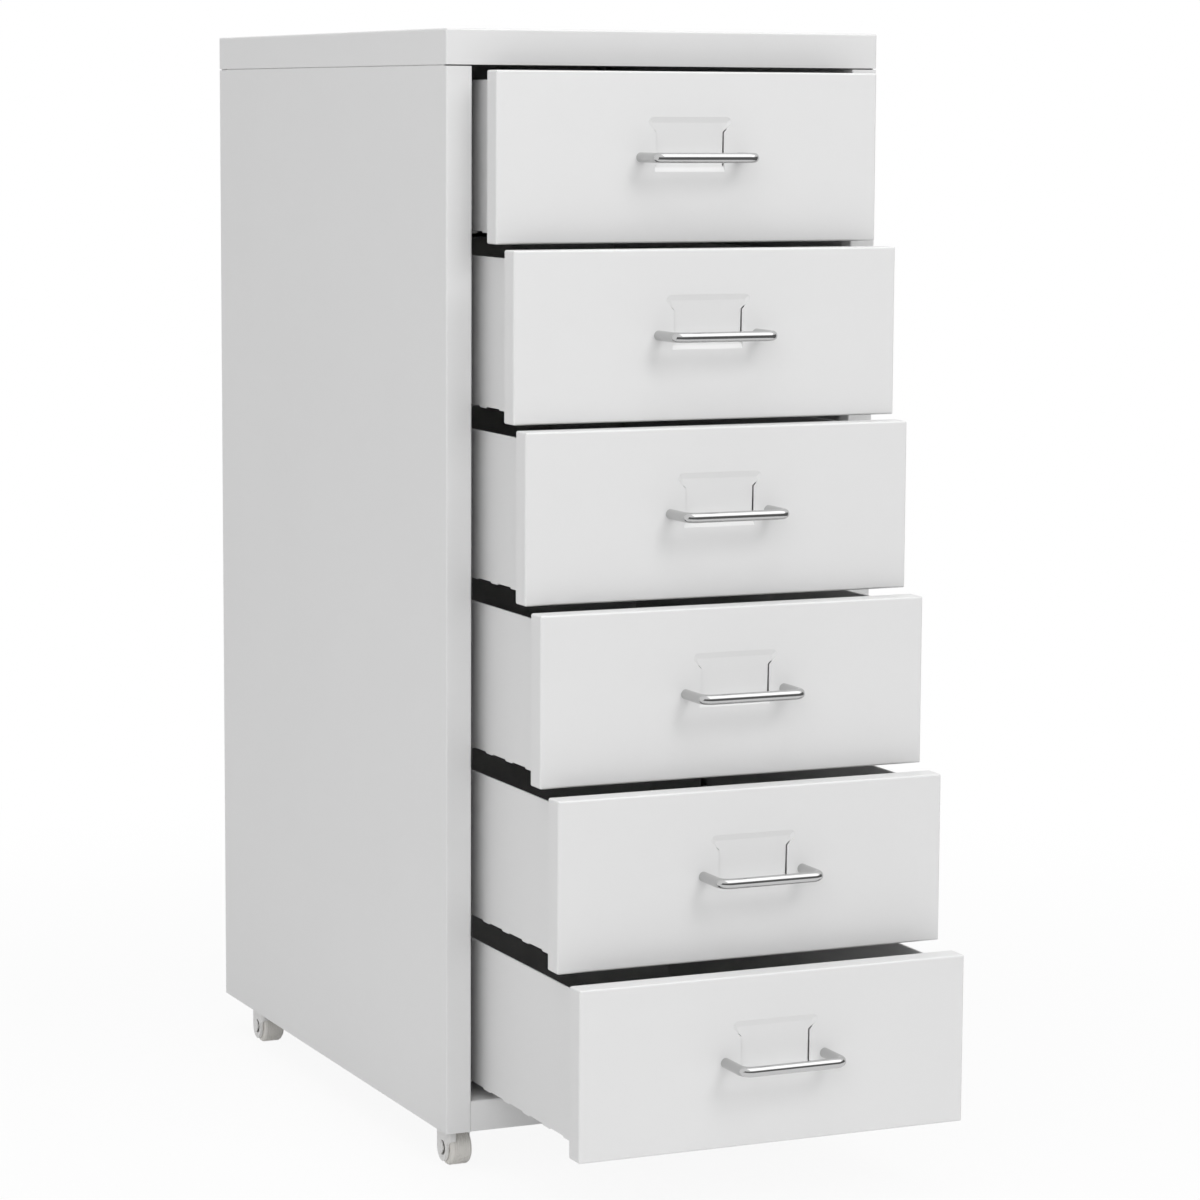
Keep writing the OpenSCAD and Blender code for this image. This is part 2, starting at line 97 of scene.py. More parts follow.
def add_camera():
    lens = bpy.data.cameras.new("camera")
    lens.lens = LENS_MM
    lens.sensor_width = SENSOR_MM
    lens.clip_end = SIGHT
    camera = bpy.data.objects.new("camera", lens)
    camera.location = EYE
    camera.rotation_mode = "QUATERNION"
    camera.rotation_quaternion = camera_rotation(TURN, TILT, ROLL)
    bpy.context.scene.collection.objects.link(camera)
    bpy.context.scene.camera = camera


add_camera()
print("camera:", LENS_MM, "mm,", round(EYE.length, 2), "m from the middle of the floor")

# %% [markdown]
# ## Node maths that reads like maths
# A material's noise, masks and blends are sums of sockets, and so are the heights and angles of a
# Geometry Nodes tree. Wiring each Math node by hand hides the formula, so this class wraps a socket
# and overloads the operators: an expression such as `1 - mask * 0.2` adds the nodes for us. Colours
# don't go through it, because a Math node would turn them grey.

# %% Expressions on sockets
class Value:
    """A number that varies from place to place: a socket that can be added, multiplied and so on."""

    def __init__(self, maker, socket):
        self.maker = maker
        self.socket = socket

    def math(self, operation, *others):
        return self.maker.add("ShaderNodeMath", {"operation": operation}, [self, *others])

    def __add__(self, other):
        return self.math("ADD", other)

    __radd__ = __add__

    def __sub__(self, other):
        return self.math("SUBTRACT", other)

    def __rsub__(self, other):
        return self.maker.add("ShaderNodeMath", {"operation": "SUBTRACT"}, [other, self])

    def __mul__(self, other):
        return self.math("MULTIPLY", other)

    __rmul__ = __mul__

    def __truediv__(self, other):
        return self.math("DIVIDE", other)

    def clamp(self):
        return self.maker.add("ShaderNodeClamp", {}, [self, 0.0, 1.0])

    def smooth(self, low, high):
        """0 below low, 1 above high and an S-curve between them."""
        return self.maker.add(
            "ShaderNodeMapRange", {"interpolation_type": "SMOOTHSTEP"}, [self, low, high, 0.0, 1.0]
        )


# %% [markdown]
# ## One way to add a node
# Every other node comes from one method. It takes the node's type, its settings, and what goes into
# its sockets, and the settings are set first because some of them decide which sockets there are.
# The cell ends with a trial on a throw-away tree, to show what one expression adds.

# %% Adding nodes
class NodeMaker:
    """Adds nodes to a tree by name, with their settings and inputs."""

    def __init__(self, tree):
        self.tree = tree

    def add(self, kind, settings=None, inputs=(), output=0):
        """A new node. Its settings come first, then inputs, a list in order or a dict by name."""
        node = self.tree.nodes.new(kind)
        for key, value in (settings or {}).items():
            setattr(node, key, value)
        pairs = inputs.items() if isinstance(inputs, dict) else enumerate(inputs)
        for key, value in pairs:
            self.plug(node.inputs[key], value)
        return Value(self, node.outputs[output])

    def plug(self, socket, value):
        """Gives an input a value, a link, or several links where it takes them."""
        if isinstance(value, Value):
            self.tree.links.new(value.socket, socket)
        elif isinstance(value, list):
            for one in value:
                self.plug(socket, one)
        elif value is not None:
            socket.default_value = value


trial = bpy.data.node_groups.new("trial", "ShaderNodeTree")
faded = 1 - NodeMaker(trial).add("ShaderNodeValue") * 0.2
print("1 - value * 0.2 adds", len(trial.nodes) - 1, "nodes, the last to", faded.socket.node.operation)
bpy.data.node_groups.remove(trial)

# %% [markdown]
# ## A paintbox
# All finishes here are built from the same few things: the surface shader, noise of a size given in
# millimetres, a blend of two colours and a fine relief. They could be painted as images instead, but
# then every folded sheet would have to be unwrapped. Patterns in object coordinates need no
# unwrapping, have their true size, and stay on their piece when it moves.

# %% Paintbox
class Paintbox(NodeMaker):
    """Builds one node material."""

    def __init__(self, name):
        self.material = bpy.data.materials.new(name)
        self.material.use_nodes = True
        super().__init__(self.material.node_tree)
        self.surface = self.tree.nodes["Principled BSDF"]

    def finish(self, **sockets):
        """Sets the surface shader's own sockets, such as Base_Color or Roughness."""
        for key, value in sockets.items():
            self.plug(self.surface.inputs[key.replace("_", " ")], value)
        return self.material

    def place(self):
        """The object coordinates, in metres, which are the frame's own."""
        return self.add("ShaderNodeTexCoord", output="Object")

    def noise(self, size_mm, detail=2.0, stretch=(1, 1, 1)):
        """Noise from 0 to 1 with features of about size_mm, stretched along an axis if asked."""
        scale = tuple(1 / (size_mm * MM * s) for s in stretch)
        at = self.add("ShaderNodeMapping", {}, {"Vector": self.place(), "Scale": scale})
        return self.add("ShaderNodeTexNoise", {}, {"Vector": at, "Scale": 1.0, "Detail": detail})

    def blend(self, factor, colour_a, colour_b):
        """colour_a where factor is 0 and colour_b where it is 1."""
        return self.add(
            "ShaderNodeMix", {"data_type": "RGBA"}, {0: factor, 6: colour_a, 7: colour_b}, output=2
        )

    def bump(self, height, depth_mm):
        """Turns a height from 0 to 1 into a relief of depth_mm."""
        return self.add("ShaderNodeBump", {}, {"Height": height, "Distance": depth_mm * MM})


def grey(level, warm=0.0):
    """A near-neutral colour. warm tilts it from blue towards yellow."""
    return (level * (1 + warm / 2), level, level * (1 - warm), 1)


def nodes_in(material):
    return f"{material.name}: {len(material.node_tree.nodes)} nodes"


# %% [markdown]
# ## Powder coat
# Powder is sprayed on dry and baked until it flows, which leaves a fine skin like orange peel: a
# soft, slightly blurred gloss over a very even colour. One flat grey would look like paper, and
# stronger noise like plaster. So the colour drifts by only about one part in a hundred, while two
# sizes of noise feed the bump. Every node of the frame gets this coat first, since nearly all of the
# cabinet is painted sheet, and the few other pieces are dressed after it.

# %% White powder coat
PAINT, PAINT_LOW, PAINT_HIGH = 0.80, 0.985, 1.01
SHEEN, SHEEN_SPREAD = 0.36, 0.08
DRIFT_MM, CLOUD_MM = 90, 5.0
PEEL_MM, SPECK_MM, PEEL_DEEP_MM = 1.7, 0.9, 0.02
PEEL_SHARE = 0.7


def powder_coat():
    box = Paintbox("white_powder_coat")
    peel = box.noise(PEEL_MM) * PEEL_SHARE + box.noise(SPECK_MM, detail=1.0) * (1 - PEEL_SHARE)
    drift = box.noise(DRIFT_MM, detail=3.0)
    return box.finish(
        Base_Color=box.blend(drift, grey(PAINT * PAINT_LOW), grey(PAINT * PAINT_HIGH)),
        Roughness=SHEEN + box.noise(CLOUD_MM) * SHEEN_SPREAD,
        IOR=1.5,
        Normal=box.bump(peel, PEEL_DEEP_MM),
    )


def dress(material, *names):
    """Gives a material to CAD nodes, in place of the one they came with."""
    for name in names:
        mesh = NODES[name].data
        mesh.materials.clear()
        mesh.materials.append(material)


coat = powder_coat()
dress(coat, *NODES)
print(nodes_in(coat))

# %% [markdown]
# ## Chrome and zinc
# The handles are polished chrome, which has almost no colour of its own, only a faint haze drawn out
# along the rod by the polishing belt. The screws, nuts, stems and axles are zinc plated, duller and
# with a soft cloudy bloom. Two shades of one metal would look alike from a step away: what tells two
# metals apart is how blurred their reflections are. So each gets its own range of roughness and a
# fine bump.

# %% Bright metals
CHROME_GREY, CHROME_BLUR, HAZE_DEEP_MM = 0.53, 0.05, 0.002
HAZE_MM, ALONG_ROD = 0.6, (14, 1, 1)
ZINC_DARK, ZINC_PALE = grey(0.56), grey(0.66, 0.03)
ZINC_BLUR, ZINC_SPREAD = 0.3, 0.15
BLOOM_MM, CRYSTAL_MM, CRYSTAL_DEEP_MM = 2.5, 0.4, 0.004


def chrome():
    box = Paintbox("polished_chrome")
    haze = box.noise(HAZE_MM, detail=3.0, stretch=ALONG_ROD)
    return box.finish(
        Base_Color=grey(CHROME_GREY),
        Metallic=1.0,
        Roughness=CHROME_BLUR + haze * CHROME_BLUR,
        Normal=box.bump(haze, HAZE_DEEP_MM),
    )


def zinc_plate():
    box = Paintbox("zinc_plate")
    bloom = box.noise(BLOOM_MM, detail=4.0)
    return box.finish(
        Base_Color=box.blend(bloom, ZINC_DARK, ZINC_PALE),
        Metallic=1.0,
        Roughness=ZINC_BLUR + bloom * ZINC_SPREAD,
        Normal=box.bump(box.noise(CRYSTAL_MM), CRYSTAL_DEEP_MM),
    )


bright, zinc = chrome(), zinc_plate()
print(nodes_in(bright), "and", nodes_in(zinc))

# %% [markdown]
# ## Moulded plastic
# The castors' hoods are a hard white plastic with a satin skin. The wheels are a greyer and rougher
# one, a little yellow and uneven from the floor. They could be two materials made from scratch, but
# both come out of a mould, so one helper gives either its clouded colour and fine texture.

# %% Plastics
MOULD_MM, SATIN_SPREAD = 0.5, 0.1


def moulded(name, cloud_mm, detail, dark, pale, blur, blur_mm, deep_mm):
    """A plastic whose colour clouds from dark to pale, with the texture of its mould."""
    box = Paintbox(name)
    return box.finish(
        Base_Color=box.blend(box.noise(cloud_mm, detail), dark, pale),
        Roughness=blur + box.noise(blur_mm) * SATIN_SPREAD,
        Normal=box.bump(box.noise(MOULD_MM), deep_mm),
    )


plastic = moulded(
    "castor_plastic", cloud_mm=14, detail=2.0, dark=grey(0.84, 0.01), pale=grey(0.89, 0.01),
    blur=0.34, blur_mm=2, deep_mm=0.008,
)
tread = moulded(
    "wheel_plastic", cloud_mm=5, detail=3.0, dark=grey(0.78, 0.05), pale=grey(0.85, 0.05),
    blur=0.45, blur_mm=1.5, deep_mm=0.02,
)
print(nodes_in(plastic), "and", nodes_in(tread))

# %% [markdown]
# ## Dressing by name
# A list of 30 names could say which node gets which finish. But each name ends in what its node is,
# so a list of seven endings is enough, and it still holds if a drawer is added. The handles, screws,
# forks and wheels get finer pieces further on, which take the same finishes.

# %% Dressing by name
FINISHES = {
    "_handle": bright, "_screws": zinc, "_nuts": zinc, "_stem": zinc, "_axle": zinc,
    "_fork": plastic, "_wheel": tread,
}
for ending, material in FINISHES.items():
    named = [name for name in NODES if name.endswith(ending)]
    dress(material, *named)
    print(material.name, "on", len(named), "nodes that end in", ending)

# %% [markdown]
# ## Recipes: Geometry Nodes for what repeats
# The cabinet has six equal handles, four equal wheels and 26 equal screws. One of each could be
# modelled by hand and copied, but a wrong size would then mean modelling it again. So each is a
# recipe: a Geometry Nodes tree with named sizes, which ends by making its copies real and giving
# them their material. Sharp edges are found by the angle between faces, so flat sides stay crisp
# while rounds are smooth.

# %% Recipe
class Recipe(NodeMaker):
    """Builds one Geometry Nodes tree. Every recipe takes a carrier, a material and named sizes."""

    def __init__(self, name, *sizes):
        super().__init__(bpy.data.node_groups.new(name, "GeometryNodeTree"))
        face = self.tree.interface
        face.new_socket("Geometry", in_out="INPUT", socket_type="NodeSocketGeometry")
        face.new_socket("Material", in_out="INPUT", socket_type="NodeSocketMaterial")
        for size in sizes:
            face.new_socket(size, in_out="INPUT", socket_type="NodeSocketFloat")
        face.new_socket("Geometry", in_out="OUTPUT", socket_type="NodeSocketGeometry")
        self.inputs = self.tree.nodes.new("NodeGroupInput")

    def given(self, name):
        return Value(self, self.inputs.outputs[name])

    def vector(self, x=0.0, y=0.0, z=0.0):
        return self.add("ShaderNodeCombineXYZ", {}, [x, y, z])

    def axes(self, vector):
        """The three parts of a vector."""
        node = self.add("ShaderNodeSeparateXYZ", {}, [vector]).socket.node
        return [Value(self, part) for part in node.outputs]

    def above(self, value, limit):
        """True where a value is greater than a limit."""
        return self.add("FunctionNodeCompare", {"operation": "GREATER_THAN"}, {"A": value, "B": limit})

    def close(self, geometry, crease_deg=30):
        """Smooths all but the creases, then ends the tree as the export needs it."""
        crease = self.above(self.add("GeometryNodeInputMeshEdgeAngle"), math.radians(crease_deg))
        whole = self.add("GeometryNodeRealizeInstances", {}, [geometry])
        soft = self.add(
            "GeometryNodeSetShadeSmooth", {"domain": "FACE"}, {"Geometry": whole, "Shade Smooth": True}
        )
        edged = self.add(
            "GeometryNodeSetShadeSmooth", {"domain": "EDGE"},
            {"Geometry": soft, "Selection": crease, "Shade Smooth": False},
        )
        made = self.add(
            "GeometryNodeSetMaterial", {}, {"Geometry": edged, "Material": self.given("Material")}
        )
        self.plug(self.tree.nodes.new("NodeGroupOutput").inputs[0], made)
        print("recipe", self.tree.name, "has", len(self.tree.nodes), "nodes")


# %% [markdown]
# ## Following a recipe
# A recipe is fed with a small carrier mesh that says where to build. The modifier's sizes are set by
# each socket's identifier, because that is what the modifier stores. What comes out is copied to a
# plain mesh that rides on one body, so the carrier and its modifier can go.

# %% Following a recipe
def follow(recipe, name, points, edges, material, **sizes):
    """Runs a recipe on a carrier made of points and edges, and returns the plain mesh object."""
    carrier_mesh = bpy.data.meshes.new("carrier")
    carrier_mesh.from_pydata(points, edges, [])
    carrier = bpy.data.objects.new("carrier", carrier_mesh)
    bpy.context.scene.collection.objects.link(carrier)
    steps = carrier.modifiers.new("recipe", "NODES")
    steps.node_group = recipe.tree
    wanted = {"Material": material, **{key.replace("_", " "): value for key, value in sizes.items()}}
    for item in recipe.tree.interface.items_tree:
        if item.in_out == "INPUT" and item.name in wanted:
            steps[item.identifier] = wanted.pop(item.name)
    assert not wanted, wanted
    evaluated = carrier.evaluated_get(bpy.context.evaluated_depsgraph_get())
    mesh = bpy.data.meshes.new_from_object(evaluated)
    mesh.name = name
    bpy.data.objects.remove(carrier)
    piece = bpy.data.objects.new(name, mesh)
    bpy.context.scene.collection.objects.link(piece)
    print(name, "faces:", len(mesh.polygons))
    return piece


# %% [markdown]
# ## Bow handles
# A bow handle is one length of plated rod, bent twice. Three cylinders would make it too, but with a
# seam at each bend, just where chrome draws the eye. So its recipe says what the bender does: a path
# with two rounded corners, and a circle swept along it. Many rings round the bends keep the
# reflections smooth, which the plain solid's flat facets would break up. The frame's box of each
# handle gives the rod's thickness, its span and its reach.

# %% Handle recipe
ROD_BEND = 6 * MM
BEND_STEPS, ROD_SIDES = 16, 48


def bow_recipe():
    recipe = Recipe("bow_handle", "Rod diameter", "Bend radius")
    path = recipe.add("GeometryNodeMeshToCurve", {}, [recipe.given("Geometry")])
    bent = recipe.add(
        "GeometryNodeFilletCurve", {"mode": "POLY"},
        {"Curve": path, "Count": BEND_STEPS, "Radius": recipe.given("Bend radius")},
    )
    round_bar = recipe.add(
        "GeometryNodeCurvePrimitiveCircle", {},
        {"Resolution": ROD_SIDES, "Radius": recipe.given("Rod diameter") / 2},
    )
    rod = recipe.add(
        "GeometryNodeCurveToMesh", {}, {"Curve": bent, "Profile Curve": round_bar, "Fill Caps": True}
    )
    recipe.close(rod)
    return recipe


handle_recipe = bow_recipe()

# %% [markdown]
# ## Six handles
# The path runs through the middle of the rod: out from the left foot, across, and back to the right
# foot. Half a rod's thickness is taken off the box on each side to find it.

# %% Handles
def add_handle(row):
    node = f"drawer_{row}_handle"
    low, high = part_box(node)
    rod = high.z - low.z
    left, right, z = low.x + rod / 2, high.x - rod / 2, (low.z + high.z) / 2
    bar_y = low.y + rod / 2
    path = [(left, high.y, z), (left, bar_y, z), (right, bar_y, z), (right, high.y, z)]
    bow = follow(
        handle_recipe, f"bow_handle_{row}", path, [(0, 1), (1, 2), (2, 3)], bright,
        Rod_diameter=rod, Bend_radius=ROD_BEND,
    )
    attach(bow, f"drawer_{row}")
    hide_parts(node)


for row in ROWS:
    add_handle(row)

# %% [markdown]
# ## Pan-head screws
# The case is closed at the rear by small screws, and each handle is held by two from inside the
# drawer. A dark cross painted on a disc would do from afar, but not for the mesh on its own, so the
# cross is cut. All screws share one recipe: a domed disc with a cross and a shank below, put on each
# point of the carrier and turned by a random angle, as screws end up in real life. The dome follows
# a rule: each point of the upper face sinks by how far it is from the axis.

# %% Screw head
DOME = 0.55
CROSS_L, CROSS_W, CROSS_DEEP = 3.6 * MM, 0.8 * MM, 1.1 * MM
HEAD_SIDES, HEAD_RINGS = 32, 6


def screw_head(recipe):
    """A domed disc with a cross in it, about its own middle."""
    tall, radius = recipe.given("Head height"), recipe.given("Head radius")
    disc = recipe.add(
        "GeometryNodeMeshCylinder", {"fill_type": "TRIANGLE_FAN"},
        {"Vertices": HEAD_SIDES, "Side Segments": 1, "Fill Segments": HEAD_RINGS, "Radius": radius,
         "Depth": tall},
    )
    x, y, z = recipe.axes(recipe.add("GeometryNodeInputPosition"))
    out = (x * x + y * y).math("SQRT") / radius
    sink = (1 - (1 - out * out).clamp().math("SQRT")) * tall * DOME
    head = recipe.add(
        "GeometryNodeSetPosition", {},
        {"Geometry": disc, "Selection": recipe.above(z, 0.0), "Offset": recipe.vector(z=0 - sink)},
    )
    top = recipe.vector(z=tall / 2)
    blades = [
        recipe.add(
            "GeometryNodeTransform", {},
            {"Geometry": recipe.add("GeometryNodeMeshCube", {}, {"Size": size}), "Translation": top},
        )
        for size in ((CROSS_L, CROSS_W, 2 * CROSS_DEEP), (CROSS_W, CROSS_L, 2 * CROSS_DEEP))
    ]
    return recipe.add(
        "GeometryNodeMeshBoolean", {"operation": "DIFFERENCE", "solver": "EXACT"},
        {"Mesh 1": head, "Mesh 2": blades, "Self Intersection": True},
    )


# %% [markdown]
# ## From head to screw
# The whole screw is a head and a shank that meet at the seat. A screw is modelled upright, so each
# copy is tipped over to face the rear and given a random angle about its own axis. The seed is an
# input too, and fixed, so the same screws end up at the same angles every time.

# %% Screw recipe
HEAD_R, SHANK_R, SHANK_SIDES = 3.6 * MM, 1.6 * MM, 20


def screw_recipe():
    recipe = Recipe("pan_head_screw", "Head radius", "Head height", "Shank radius", "Shank length", "Seed")
    seated = recipe.add(
        "GeometryNodeTransform", {},
        {"Geometry": screw_head(recipe), "Translation": recipe.vector(z=recipe.given("Head height") / 2)},
    )
    length = recipe.given("Shank length")
    bar = recipe.add(
        "GeometryNodeMeshCylinder", {"fill_type": "NGON"},
        {"Vertices": SHANK_SIDES, "Radius": recipe.given("Shank radius"), "Depth": length},
    )
    shank = recipe.add(
        "GeometryNodeTransform", {}, {"Geometry": bar, "Translation": recipe.vector(z=0 - length / 2)}
    )
    screw = recipe.add("GeometryNodeJoinGeometry", {}, {"Geometry": [seated, shank]})
    spin = recipe.add(
        "FunctionNodeRandomValue", {"data_type": "FLOAT"},
        {2: 0.0, 3: math.tau, "Seed": recipe.given("Seed")}, output=1,
    )
    facing = recipe.vector(-math.pi / 2, spin, 0.0)
    placed = recipe.add(
        "GeometryNodeInstanceOnPoints", {},
        {"Points": recipe.given("Geometry"), "Instance": screw, "Rotation": facing},
    )
    recipe.close(placed)
    return recipe


pan_head = screw_recipe()

# %% [markdown]
# ## Where the screws sit
# One CAD node holds several screws, so its box alone can't tell where each one is. Their places
# could be typed in, but a change of the model would then leave the screws behind. Points that share
# an edge belong to the same solid, so following the edges from any point finds one whole screw.

# %% Screws
CASE_HEAD_H, HANDLE_HEAD_H = 1.8 * MM, 2.2 * MM
CASE_SEED = 7
SAME_POINT = 0.001 * MM


def solids(node):
    """The lowest and highest corner of each separate solid in a CAD node."""
    copy = bmesh.new()
    copy.from_mesh(NODES[node].data)
    bmesh.ops.remove_doubles(copy, verts=copy.verts, dist=SAME_POINT)
    left, boxes = set(copy.verts), []
    while left:
        group, reached = set(), {left.pop()}
        while reached:
            group |= reached
            reached = {edge.other_vert(v) for v in reached for edge in v.link_edges} - group
        left -= group
        low = Vector(min(v.co[i] for v in group) for i in range(3))
        high = Vector(max(v.co[i] for v in group) for i in range(3))
        boxes.append((low, high))
    copy.free()
    return sorted(boxes, key=lambda box: tuple(box[0]))


def add_screws(name, node, body, head_h, seed):
    """Screws that face the rear, on the seats of a node's plain ones."""
    boxes = solids(node)
    seats = [((low.x + high.x) / 2, high.y - head_h, (low.z + high.z) / 2) for low, high in boxes]
    low, high = boxes[0]
    screws = follow(
        pan_head, name, seats, [], zinc, Head_radius=HEAD_R, Head_height=head_h,
        Shank_radius=SHANK_R, Shank_length=high.y - low.y - head_h, Seed=seed,
    )
    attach(screws, body)
    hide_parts(node)
    print(name, "has", len(seats), "screws")


add_screws("rear_screws", "case_screws", "cabinet", CASE_HEAD_H, CASE_SEED)
for row in ROWS:
    add_screws(f"handle_screws_{row}", f"drawer_{row}_screws", f"drawer_{row}", HANDLE_HEAD_H, row)

# %% [markdown]
# ## Castor wheels
# A hard castor wheel is turned or moulded, so everything about it follows from the distance to its
# axis and the place across its width. A profile could be drawn and spun, but then each feature is a
# few loose points. Here the recipe starts from a cylinder with many rings and moves each point by
# rule, one line for each feature: the shoulders of the tread are rounded, fine tool rings run round
# it, and each side is hollow between the hub and the rim.

# %% Wheel recipe
SHOULDER, HOLLOW, EASE = 1.6 * MM, 4.4 * MM, 0.8 * MM
HUB_R, RIM_IN_R = 2.8 * MM, 6.4 * MM
RING_PITCH, RING_DEEP = 1.4 * MM, 0.16 * MM
TREAD_SIDES, TREAD_RINGS, SIDE_RINGS = 72, 64, 22
AT_SIDE = 0.999
WHEEL_CREASE = 40


def wheel_recipe():
    recipe = Recipe("castor_wheel", "Wheel radius", "Wheel width")
    radius, half = recipe.given("Wheel radius"), recipe.given("Wheel width") / 2
    blank = recipe.add(
        "GeometryNodeMeshCylinder", {"fill_type": "TRIANGLE_FAN"},
        {"Vertices": TREAD_SIDES, "Side Segments": TREAD_RINGS, "Fill Segments": SIDE_RINGS,
         "Radius": radius, "Depth": half * 2},
    )
    x, y, z = recipe.axes(recipe.add("GeometryNodeInputPosition"))
    out = (x * x + y * y).math("SQRT")
    bend = ((z.math("ABSOLUTE") - half + SHOULDER) / SHOULDER).clamp()
    rounding = (1 - (1 - bend * bend).clamp().math("SQRT")) * SHOULDER
    rings = ((z * (math.tau / RING_PITCH)).math("COSINE") + 1) * (RING_DEEP / 2)
    keep = 1 - (rounding + rings) / radius
    turned = recipe.add(
        "GeometryNodeSetPosition", {}, {"Geometry": blank, "Position": recipe.vector(x * keep, y * keep, z)}
    )
    inside_rim = 1 - out.smooth(RIM_IN_R - EASE, RIM_IN_R)
    hollow = out.smooth(HUB_R, HUB_R + EASE) * inside_rim * HOLLOW
    sides = recipe.above(z.math("ABSOLUTE"), half * AT_SIDE)
    inwards = recipe.vector(z=0 - z.math("SIGN") * hollow)
    dished = recipe.add(
        "GeometryNodeSetPosition", {}, {"Geometry": turned, "Selection": sides, "Offset": inwards}
    )
    placed = recipe.add(
        "GeometryNodeInstanceOnPoints", {},
        {"Points": recipe.given("Geometry"), "Instance": dished, "Rotation": (0.0, math.pi / 2, 0.0)},
    )
    recipe.close(placed, WHEEL_CREASE)
    return recipe


castor_wheel = wheel_recipe()

# %% [markdown]
# ## Four wheels
# Each wheel is one copy at the middle of its node's box, and rides on its own roller. So it turns
# with the axle's joint, and the hood that comes next doesn't.

# %% Wheels
def add_wheel(corner):
    node = f"castor_{corner}_wheel"
    low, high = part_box(node)
    wheel = follow(
        castor_wheel, f"turned_wheel_{corner}", [(low + high) / 2], [], tread,
        Wheel_radius=(high.z - low.z) / 2, Wheel_width=high.x - low.x,
    )
    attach(wheel, f"castor_{corner}_roller")
    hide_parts(node)


for corner in CORNERS:
    add_wheel(corner)

# %% [markdown]
# ## Castor hoods
# Each fork is one plastic moulding: a hood over the wheel that narrows to a tongue at the axle, with
# a lip round the wheel on one side and a moon-shaped window in front of the axle. It has flats,
# arcs and openings but no rule that repeats. Pulling it out of a box face by face would take many
# steps that can't be read afterwards, while adding and cutting simple prisms is short and says what
# each one is for. We begin with a helper for prisms and two for outlines.

# %% Prisms and outlines
def prism(name, outline, start, end, axis):
    """A solid between two copies of an outline. axis 0 extrudes a (y, z) one, 2 an (x, y) one."""
    shape = bmesh.new()
    rows = []
    for level in (start, end):
        flat = [(level, a, b) if axis == 0 else (a, b, level) for a, b in outline]
        rows.append([shape.verts.new(point) for point in flat])
    near, far = rows
    for i, j in zip(range(len(outline)), [*range(1, len(outline)), 0]):
        shape.faces.new([near[i], near[j], far[j], far[i]])
    shape.faces.new(near)
    shape.faces.new(far)
    bmesh.ops.recalc_face_normals(shape, faces=shape.faces)
    mesh = bpy.data.meshes.new(name)
    shape.to_mesh(mesh)
    shape.free()
    tool = bpy.data.objects.new(name, mesh)
    bpy.context.scene.collection.objects.link(tool)
    return tool


def arc(centre, radius, start, end, steps, tall=1.0):
    """Points on an arc, in degrees. tall stretches it upright into a part of an oval."""
    turns = [math.radians(start + (end - start) * i / steps) for i in range(steps + 1)]
    return [(centre[0] + radius * math.cos(t), centre[1] + radius * math.sin(t) * tall) for t in turns]


def ring(radius, sides=48):
    """A closed outline about the axle."""
    return arc((0, 0), radius, 0, 360 - 360 / sides, sides - 1)


print("points in a ring:", len(ring(1)))

# %% [markdown]
# ## What is added to a fork and cut from it
# The lip and a round boss on each cheek are added. Then the front is cut back to the tongue, the far
# cheek to a narrower one, each boss is relieved from inside until only a thin skin is left, and the
# moon window goes through all of it. Where a cut ends at a face it goes a little past it, because
# two faces in the same plane confuse a boolean.

# %% Outlines for the hood
CHEEK_T, DISC_R, DISC_T = 2.15 * MM, 6.6 * MM, 1.5 * MM
RELIEF_R, SKIN_T, PAST = 5.5 * MM, 0.7 * MM, 0.1 * MM
TONGUE_FRONT, HOOD_LIP_Z, HOOD_FRONT = 6.0 * MM, 5.6 * MM, 11.3 * MM
LIP_IN, LIP_T, LIP_TOP = 4.4 * MM, 1.1 * MM, 11.4 * MM
LIP_BACK, LIP_CORNER_R = 5 * MM, 2 * MM
MOON_R, MOON_SHIFT = 4.7 * MM, 4.0 * MM
FOOT_R, FAR_TONGUE_R, FAR_FRONT, FAR = 8.4 * MM, 4.2 * MM, 0.5 * MM, 20 * MM
CORNER_STEPS, SIDE_STEPS, NECK_STEPS, MOON_STEPS = 6, 12, 8, 24


def lip_outline(half_w):
    """The lip from above: along the cheek, round its front corner and back along its inner face."""
    corner_at = (-half_w + LIP_CORNER_R, -HOOD_FRONT + LIP_CORNER_R)
    inner_x, inner_y = -half_w + CHEEK_T, -HOOD_FRONT + LIP_T
    return [
        (-half_w, -LIP_BACK), *arc(corner_at, LIP_CORNER_R, 180, 270, CORNER_STEPS),
        (-LIP_IN, -HOOD_FRONT), (-LIP_IN, inner_y), (inner_x, inner_y), (inner_x, -LIP_BACK),
    ]


def tongue_cut():
    """All that lies in front of the tongue and below the lip, from the side."""
    foot = arc((0, 0), TONGUE_FRONT, 270, 180, SIDE_STEPS, FOOT_R / TONGUE_FRONT)[:-1]
    scoop = arc((-TONGUE_FRONT - HOOD_LIP_Z, 0), HOOD_LIP_Z, 0, 90, SIDE_STEPS)
    return [(-FAR, HOOD_LIP_Z), (-FAR, -FAR), (0, -FAR), *foot, *scoop]


def far_cut():
    """The same for the far cheek, whose tongue is narrower."""
    foot = arc((0, 0), FAR_TONGUE_R, 270, 180, SIDE_STEPS, FOOT_R / FAR_TONGUE_R)[:-1]
    foot += arc((0, 0), FAR_TONGUE_R, 180, 120, NECK_STEPS)
    return [
        (-FAR, LIP_TOP), (-FAR, -FAR), (0, -FAR), *foot,
        (-FAR_FRONT, HOOD_LIP_Z), (-FAR_FRONT, LIP_TOP),
    ]


def moon():
    """What is left of a circle when an equal one, shifted to the rear, is taken away."""
    tip = math.degrees(math.acos(MOON_SHIFT / 2 / MOON_R))
    outer = arc((0, 0), MOON_R, tip, 360 - tip, MOON_STEPS)
    return outer + arc((MOON_SHIFT, 0), MOON_R, 180 + tip, 180 - tip, MOON_STEPS)[1:-1]


